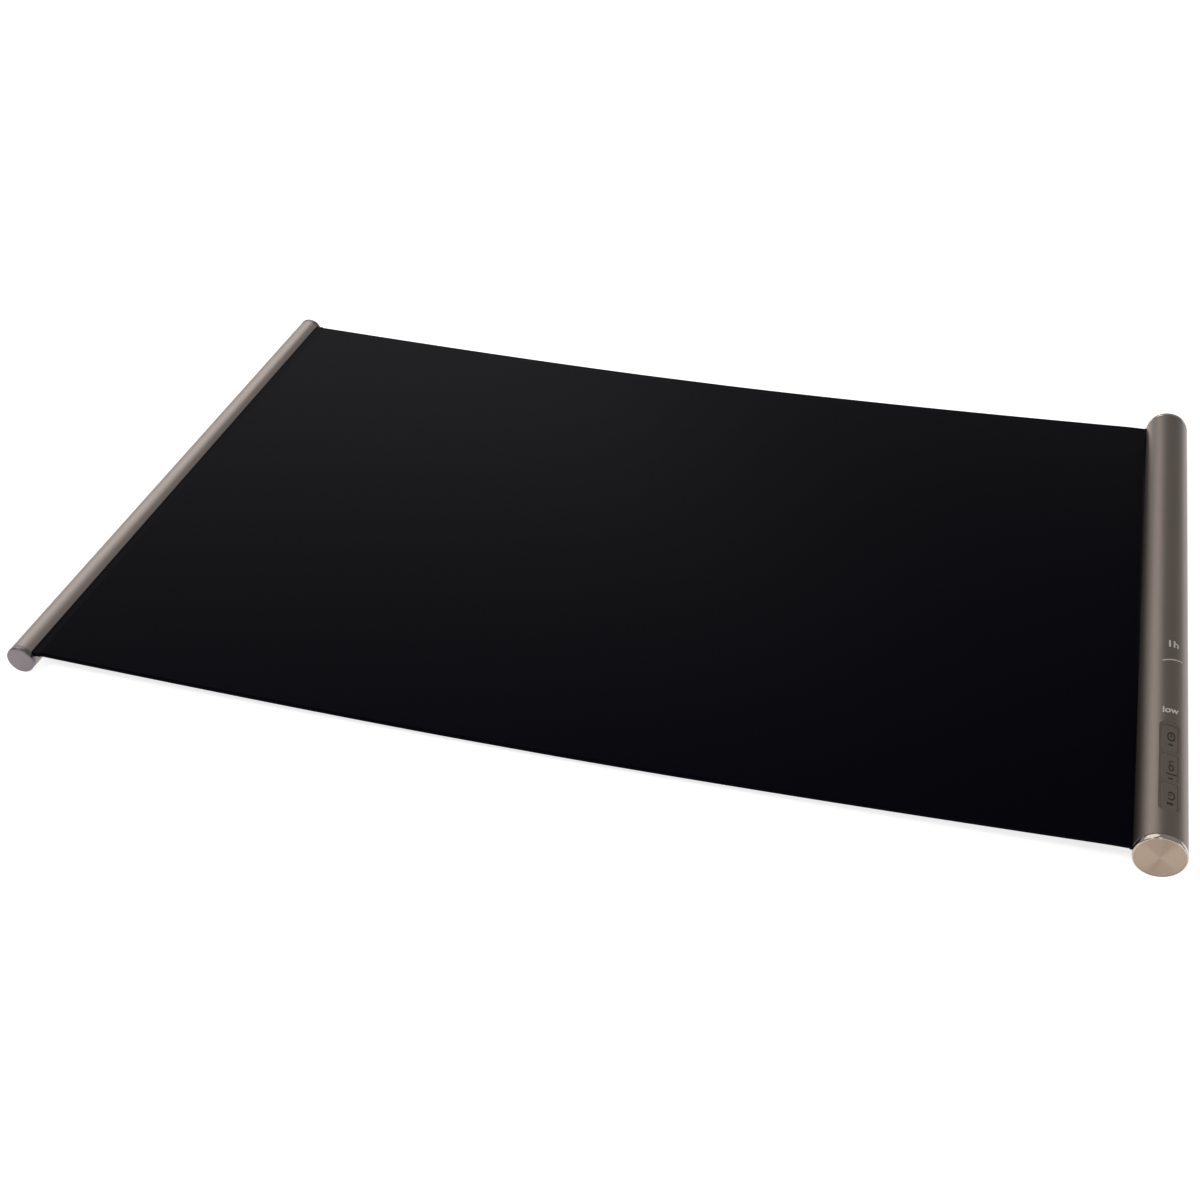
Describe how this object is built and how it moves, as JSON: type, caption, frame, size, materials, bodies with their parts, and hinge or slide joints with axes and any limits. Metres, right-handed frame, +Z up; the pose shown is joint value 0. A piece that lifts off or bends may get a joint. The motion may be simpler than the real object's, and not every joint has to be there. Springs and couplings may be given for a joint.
{
  "type": "electric food warmer tray",
  "caption": "Flexible black silicone warming mat that rolls up, held between a slim steel grip tube and a thicker steel control tube with keys and a mains inlet.",
  "frame": {"origin": "on the table under the middle of the whole object", "axes": "+X from the grip tube to the control tube, +Y from the user to the back along the tubes, +Z up"},
  "size_m": [0.6207, 0.4, 0.0254],
  "materials": {
    "board_laminate": "green solder mask",
    "cap_chrome": "polished",
    "capacitor_case": "moulded yellow",
    "component_black": "moulded epoxy",
    "dome_steel": "stamped",
    "fuse_glass": "clear tube in metal ends",
    "heating_foil": "etched foil",
    "inner_plastic": "moulded black",
    "key_plastic": "satin, metal coloured",
    "lamp_white": "white lens",
    "light_guide_clear": "clear moulded",
    "mat_silicone": "smooth matte black",
    "pin_brass": "plated",
    "relay_case": "moulded blue",
    "rod_steel": "drawn",
    "screw_steel": "plated",
    "spun_disc": "spun, champagne",
    "tray_plastic": "satin, metal coloured",
    "tube_steel": "satin brushed, warm grey",
    "wire_sleeve": "silicone sleeved"
  },
  "bodies": {
    "control_bar": {"back_cap_ring": "cap_chrome", "board_carrier": "inner_plastic", "control_chip": "component_black", "control_tube": "tube_steel", "end_screws": "screw_steel", "filter_capacitor": "capacitor_case", "front_cap_disc": "spun_disc", "front_cap_ring": "cap_chrome", "front_plug": "inner_plastic", "heater_leads": "wire_sleeve", "hem_rod_control": "rod_steel", "indicator_leds": "lamp_white", "inlet_pins": "pin_brass", "inlet_socket": "inner_plastic", "key_tray": "tray_plastic", "light_guide": "light_guide_clear", "main_board": "board_laminate", "mains_fuse": "fuse_glass", "mains_leads": "wire_sleeve", "mat_hem_control": "mat_silicone", "relay": "relay_case", "switch_domes": "dome_steel", "tact_switches": "component_black", "terminal_block": "inner_plastic", "thermal_cutout": "rod_steel"},
    "mat_section_01": {"mat_strip_01": "mat_silicone", "heating_foil_01": "heating_foil"},
    "mat_section_02": {"mat_strip_02": "mat_silicone", "heating_foil_02": "heating_foil"},
    "mat_section_03": {"mat_strip_03": "mat_silicone", "heating_foil_03": "heating_foil"},
    "mat_section_04": {"mat_strip_04": "mat_silicone", "heating_foil_04": "heating_foil"},
    "mat_section_05": {"mat_strip_05": "mat_silicone", "heating_foil_05": "heating_foil"},
    "mat_section_06": {"mat_strip_06": "mat_silicone", "heating_foil_06": "heating_foil"},
    "mat_section_07": {"mat_strip_07": "mat_silicone", "heating_foil_07": "heating_foil"},
    "mat_section_08": {"mat_strip_08": "mat_silicone", "heating_foil_08": "heating_foil"},
    "mat_section_09": {"mat_strip_09": "mat_silicone", "heating_foil_09": "heating_foil"},
    "mat_section_10": {"mat_strip_10": "mat_silicone", "heating_foil_10": "heating_foil"},
    "mat_section_11": {"mat_strip_11": "mat_silicone", "heating_foil_11": "heating_foil"},
    "mat_section_12": {"mat_strip_12": "mat_silicone", "heating_foil_12": "heating_foil"},
    "mat_section_13": {"mat_strip_13": "mat_silicone", "heating_foil_13": "heating_foil"},
    "grip_bar": {"mat_strip_14": "mat_silicone", "grip_tube": "tube_steel", "grip_cap_front": "tube_steel", "grip_cap_back": "tube_steel", "hem_rod_grip": "rod_steel"},
    "key_power": {"key_power": "key_plastic"},
    "key_heat": {"key_heat": "key_plastic"},
    "key_timer": {"key_timer": "key_plastic"}
  },
  "joints": [
    {"name": "mat_bend_01", "type": "hinge", "parent": "control_bar", "child": "mat_section_01", "pos_m": [0.27465, 0, 0.01145], "axis": [0, 1, 0], "range_deg": [-9.52, 0]},
    {"name": "mat_roll", "type": "hinge", "parent": "mat_section_01", "child": "mat_section_02", "pos_m": [0.22865, 0, 0.01217], "axis": [0, 1, 0], "range_deg": [0, 40.8]},
    {"name": "mat_bend_03", "type": "hinge", "parent": "mat_section_02", "child": "mat_section_03", "pos_m": [0.18065, 0, 0.01053], "axis": [0, 1, 0], "range_deg": [0, 41.31]},
    {"name": "mat_bend_04", "type": "hinge", "parent": "mat_section_03", "child": "mat_section_04", "pos_m": [0.13398, 0, 0.00918], "axis": [0, 1, 0], "range_deg": [0, 40.71]},
    {"name": "mat_bend_05", "type": "hinge", "parent": "mat_section_04", "child": "mat_section_05", "pos_m": [0.08865, 0, 0.00811], "axis": [0, 1, 0], "range_deg": [0, 40.4]},
    {"name": "mat_bend_06", "type": "hinge", "parent": "mat_section_05", "child": "mat_section_06", "pos_m": [0.04465, 0, 0.00736], "axis": [0, 1, 0], "range_deg": [0, 40.33]},
    {"name": "mat_bend_07", "type": "hinge", "parent": "mat_section_06", "child": "mat_section_07", "pos_m": [0.00198, 0, 0.007], "axis": [0, 1, 0], "range_deg": [0, 40.44]},
    {"name": "mat_bend_08", "type": "hinge", "parent": "mat_section_07", "child": "mat_section_08", "pos_m": [-0.03935, 0, 0.007], "axis": [0, 1, 0], "range_deg": [0, 40.68]},
    {"name": "mat_bend_09", "type": "hinge", "parent": "mat_section_08", "child": "mat_section_09", "pos_m": [-0.07935, 0, 0.00729], "axis": [0, 1, 0], "range_deg": [0, 41.01]},
    {"name": "mat_bend_10", "type": "hinge", "parent": "mat_section_09", "child": "mat_section_10", "pos_m": [-0.11802, 0, 0.00787], "axis": [0, 1, 0], "range_deg": [0, 41.38]},
    {"name": "mat_bend_11", "type": "hinge", "parent": "mat_section_10", "child": "mat_section_11", "pos_m": [-0.15535, 0, 0.00862], "axis": [0, 1, 0], "range_deg": [0, 41.77]},
    {"name": "mat_bend_12", "type": "hinge", "parent": "mat_section_11", "child": "mat_section_12", "pos_m": [-0.19135, 0, 0.00949], "axis": [0, 1, 0], "range_deg": [0, 42.13]},
    {"name": "mat_bend_13", "type": "hinge", "parent": "mat_section_12", "child": "mat_section_13", "pos_m": [-0.22602, 0, 0.01046], "axis": [0, 1, 0], "range_deg": [0, 50.91]},
    {"name": "mat_bend_14", "type": "hinge", "parent": "mat_section_13", "child": "grip_bar", "pos_m": [-0.25935, 0, 0.01151], "axis": [0, 1, 0], "range_deg": [0, 51.18]},
    {"name": "key_power_press", "type": "slide", "parent": "control_bar", "child": "key_power", "axis": [-0.1736, 0, -0.9848], "range_m": [0, 0.0005], "stiffness_N_per_m": 1500, "springref_m": -0.0003},
    {"name": "key_heat_press", "type": "slide", "parent": "control_bar", "child": "key_heat", "axis": [-0.1736, 0, -0.9848], "range_m": [0, 0.0005], "stiffness_N_per_m": 1500, "springref_m": -0.0003},
    {"name": "key_timer_press", "type": "slide", "parent": "control_bar", "child": "key_timer", "axis": [-0.1736, 0, -0.9848], "range_m": [0, 0.0005], "stiffness_N_per_m": 1500, "springref_m": -0.0003}
  ],
  "couplings": [
    {"joint": "mat_bend_01", "follows": "mat_roll", "ratio": -0.2328},
    {"joint": "mat_bend_03", "follows": "mat_roll", "ratio": 1.012},
    {"joint": "mat_bend_04", "follows": "mat_roll", "ratio": 0.9973},
    {"joint": "mat_bend_05", "follows": "mat_roll", "ratio": 0.9897},
    {"joint": "mat_bend_06", "follows": "mat_roll", "ratio": 0.988},
    {"joint": "mat_bend_07", "follows": "mat_roll", "ratio": 0.9906},
    {"joint": "mat_bend_08", "follows": "mat_roll", "ratio": 0.9966},
    {"joint": "mat_bend_09", "follows": "mat_roll", "ratio": 1.0047},
    {"joint": "mat_bend_10", "follows": "mat_roll", "ratio": 1.0138},
    {"joint": "mat_bend_11", "follows": "mat_roll", "ratio": 1.0232},
    {"joint": "mat_bend_12", "follows": "mat_roll", "ratio": 1.032},
    {"joint": "mat_bend_13", "follows": "mat_roll", "ratio": 1.2473},
    {"joint": "mat_bend_14", "follows": "mat_roll", "ratio": 1.2538}
  ]
}
